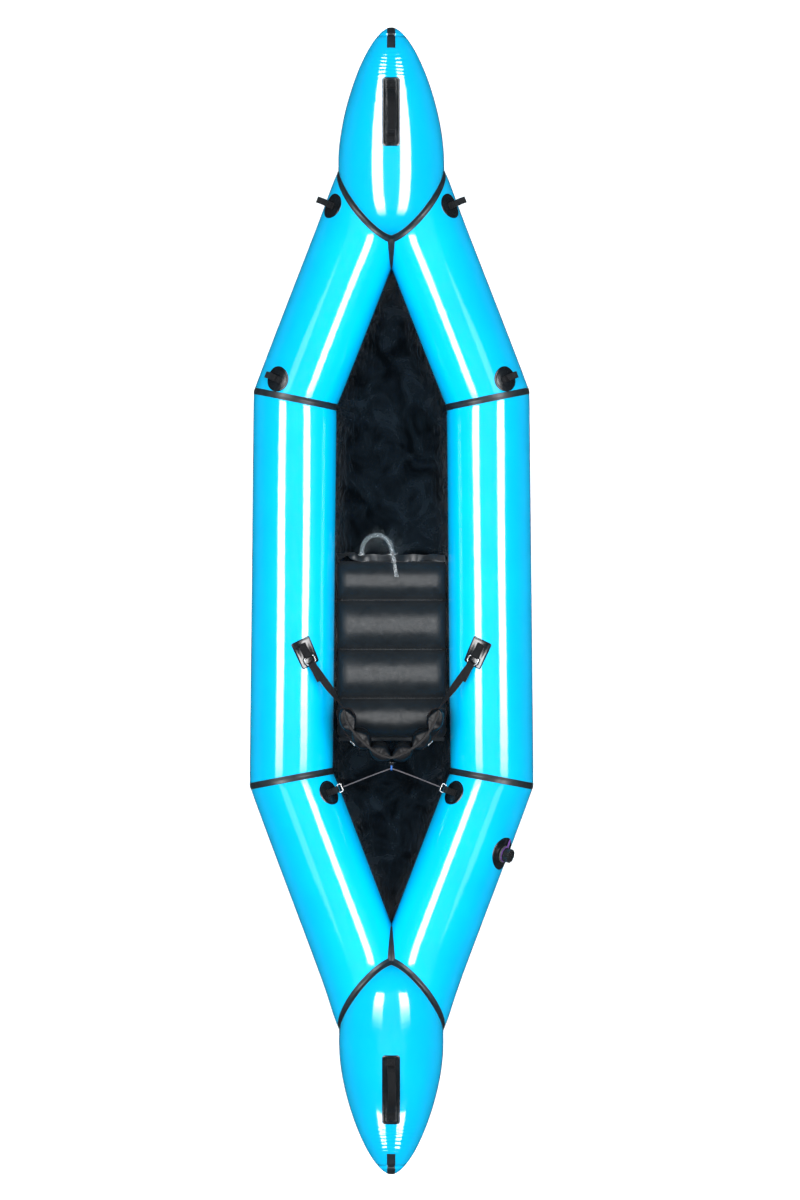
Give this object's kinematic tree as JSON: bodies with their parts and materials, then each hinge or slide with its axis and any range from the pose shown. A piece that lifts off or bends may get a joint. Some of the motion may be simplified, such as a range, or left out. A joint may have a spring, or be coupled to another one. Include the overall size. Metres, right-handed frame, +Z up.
{
  "type": "inflatable kayak",
  "caption": "Single-seat inflatable kayak with round side tubes meeting in rising pointed ends, a sheet floor, a strapped folding backrest and an inflated seat.",
  "frame": {"origin": "on the ground plane under the middle of the overall length and width", "axes": "+X to the bow, +Y to port, +Z up; z = 0 on the underside of the flat floor"},
  "size_m": [3.5317, 0.9176, 0.5238],
  "materials": {
    "hull_fabric": "gloss",
    "floor_fabric": "gloss",
    "seam_tape": "satin",
    "patch_fabric": "gloss",
    "webbing": "woven",
    "steel_wire": "polished",
    "strap": "woven",
    "seat_fabric": "satin coated",
    "backrest_fabric": "satin coated",
    "binding": "woven",
    "bungee": "braided",
    "cord_loop": "braided",
    "clear_hose": "clear",
    "clear_fitting": "clear",
    "valve_plastic": "gloss",
    "valve_rubber": "matt",
    "tether": "matt"
  },
  "bodies": {
    "hull": {"bow_cone": "hull_fabric", "bow_handle_patch": "patch_fabric", "bow_port_tube": "hull_fabric", "bow_starboard_tube": "hull_fabric", "bow_yoke_tape": "seam_tape", "bungee_cord": "bungee", "floor_sheet": "floor_fabric", "handle_ends": "webbing", "hose_inlet": "clear_fitting", "mouthpiece_holder": "clear_fitting", "port_backrest_strap": "strap", "port_bow_patch": "patch_fabric", "port_bow_seam_tape": "seam_tape", "port_bungee_hook": "steel_wire", "port_rear_patch": "patch_fabric", "port_shoulder_patch": "patch_fabric", "port_side_tube": "hull_fabric", "port_stern_seam_tape": "seam_tape", "port_strap_patch": "patch_fabric", "port_strap_webbing": "webbing", "seat_cushion": "seat_fabric", "seat_hose": "clear_hose", "starboard_backrest_strap": "strap", "starboard_bow_patch": "patch_fabric", "starboard_bow_seam_tape": "seam_tape", "starboard_bungee_hook": "steel_wire", "starboard_rear_patch": "patch_fabric", "starboard_shoulder_patch": "patch_fabric", "starboard_side_tube": "hull_fabric", "starboard_stern_seam_tape": "seam_tape", "starboard_strap_patch": "patch_fabric", "starboard_strap_webbing": "webbing", "stern_cone": "hull_fabric", "stern_handle_patch": "patch_fabric", "stern_port_tube": "hull_fabric", "stern_starboard_tube": "hull_fabric", "stern_yoke_tape": "seam_tape", "tip_tapes": "seam_tape", "valve_body": "valve_plastic", "valve_patch": "patch_fabric"},
    "bow_handle": {"bow_handle": "webbing"},
    "stern_handle": {"stern_handle": "webbing"},
    "port_bow_loop": {"port_bow_loop": "webbing"},
    "port_shoulder_loop": {"port_shoulder_loop": "webbing"},
    "port_rear_loop": {"port_rear_loop": "webbing"},
    "port_strap_ring": {"port_strap_ring": "steel_wire"},
    "starboard_bow_loop": {"starboard_bow_loop": "webbing"},
    "starboard_shoulder_loop": {"starboard_shoulder_loop": "webbing"},
    "starboard_rear_loop": {"starboard_rear_loop": "webbing"},
    "starboard_strap_ring": {"starboard_strap_ring": "steel_wire"},
    "backrest": {"backrest_cushion": "backrest_fabric", "backrest_binding": "binding", "strap_buckles": "steel_wire", "backrest_valve": "valve_plastic", "backrest_cord_loop": "cord_loop"},
    "backrest_valve_cap": {"backrest_valve_cap": "valve_plastic"},
    "valve_tether": {"valve_tether": "tether"},
    "valve_cap": {"valve_cap": "valve_plastic"},
    "valve_diaphragm": {"valve_diaphragm": "valve_rubber"},
    "mouthpiece": {"mouthpiece": "clear_fitting"}
  },
  "joints": [
    {"name": "bow_handle_flop", "type": "hinge", "parent": "hull", "child": "bow_handle", "pos_m": [1.40483, 0, 0.47966], "axis": [0.9996, 0, -0.029], "range_deg": [-60, 60]},
    {"name": "stern_handle_flop", "type": "hinge", "parent": "hull", "child": "stern_handle", "pos_m": [-1.40473, 0, 0.49483], "axis": [-0.9996, 0, -0.029], "range_deg": [-60, 60]},
    {"name": "port_bow_loop_swing", "type": "hinge", "parent": "hull", "child": "port_bow_loop", "pos_m": [1.22821, 0.19516, 0.34389], "axis": [0.907, -0.3745, 0.1928], "range_deg": [-65, 105]},
    {"name": "port_shoulder_loop_swing", "type": "hinge", "parent": "hull", "child": "port_shoulder_loop", "pos_m": [0.69752, 0.36601, 0.2728], "axis": [0.907, -0.3745, 0.1928], "range_deg": [-27, 133]},
    {"name": "port_rear_loop_swing", "type": "hinge", "parent": "hull", "child": "port_rear_loop", "pos_m": [-0.60537, 0.18744, 0.2431], "axis": [-0.9106, -0.3651, 0.1936], "range_deg": [-6, 6]},
    {"name": "starboard_bow_loop_swing", "type": "hinge", "parent": "hull", "child": "starboard_bow_loop", "pos_m": [1.22821, -0.19516, 0.34389], "axis": [0.907, 0.3745, 0.1928], "range_deg": [-105, 65]},
    {"name": "starboard_shoulder_loop_swing", "type": "hinge", "parent": "hull", "child": "starboard_shoulder_loop", "pos_m": [0.69752, -0.36601, 0.2728], "axis": [0.907, 0.3745, 0.1928], "range_deg": [-133, 27]},
    {"name": "starboard_rear_loop_swing", "type": "hinge", "parent": "hull", "child": "starboard_rear_loop", "pos_m": [-0.60537, -0.18744, 0.2431], "axis": [-0.9106, 0.3651, 0.1936], "range_deg": [-6, 6]},
    {"name": "backrest_fold", "type": "hinge", "parent": "hull", "child": "backrest", "pos_m": [-0.492, 0, 0.1], "axis": [0, 1, 0], "range_deg": [0, 30], "stiffness_Nm_per_rad": 1, "springref_deg": -17.19, "deforming": ["port_backrest_strap", "starboard_backrest_strap", "bungee_cord"]},
    {"name": "port_strap_ring_swing", "type": "hinge", "parent": "hull", "child": "port_strap_ring", "pos_m": [-0.17864, 0.26207, 0.26609], "axis": [0.4298, -0.8401, -0.3309], "range_deg": [0, 9]},
    {"name": "starboard_strap_ring_swing", "type": "hinge", "parent": "hull", "child": "starboard_strap_ring", "pos_m": [-0.17864, -0.26207, 0.26609], "axis": [-0.4298, -0.8401, 0.3309], "range_deg": [0, 9]},
    {"name": "backrest_valve_twist", "type": "hinge", "parent": "backrest", "child": "backrest_valve_cap", "pos_m": [-0.5213, 0, 0.15], "axis": [-1, 0, 0], "range_deg": [0, 90]},
    {"name": "valve_cap_lift", "type": "slide", "parent": "hull", "child": "valve_tether", "axis": [-0.2053, -0.8063, 0.5548], "range_m": [0, 0.006]},
    {"name": "valve_cap_turn", "type": "hinge", "parent": "valve_tether", "child": "valve_cap", "pos_m": [-0.80121, -0.35269, 0.25335], "axis": [-0.2053, -0.8063, 0.5548], "range_deg": [0, 720]},
    {"name": "valve_diaphragm_press", "type": "slide", "parent": "hull", "child": "valve_diaphragm", "axis": [0.2053, 0.8063, -0.5548], "range_m": [0, 0.005], "stiffness_N_per_m": 150, "springref_m": -0.004},
    {"name": "mouthpiece_pull", "type": "slide", "parent": "hull", "child": "mouthpiece", "axis": [-0.9878, -0.156, 0], "range_m": [0, 0.004]}
  ],
  "couplings": [
    {"joint": "valve_cap_lift", "follows": "valve_cap_turn", "m_per_rad": 0.00047746},
    {"joint": "port_strap_ring_swing", "follows": "backrest_fold", "ratio": 0.3},
    {"joint": "starboard_strap_ring_swing", "follows": "backrest_fold", "ratio": 0.3}
  ]
}
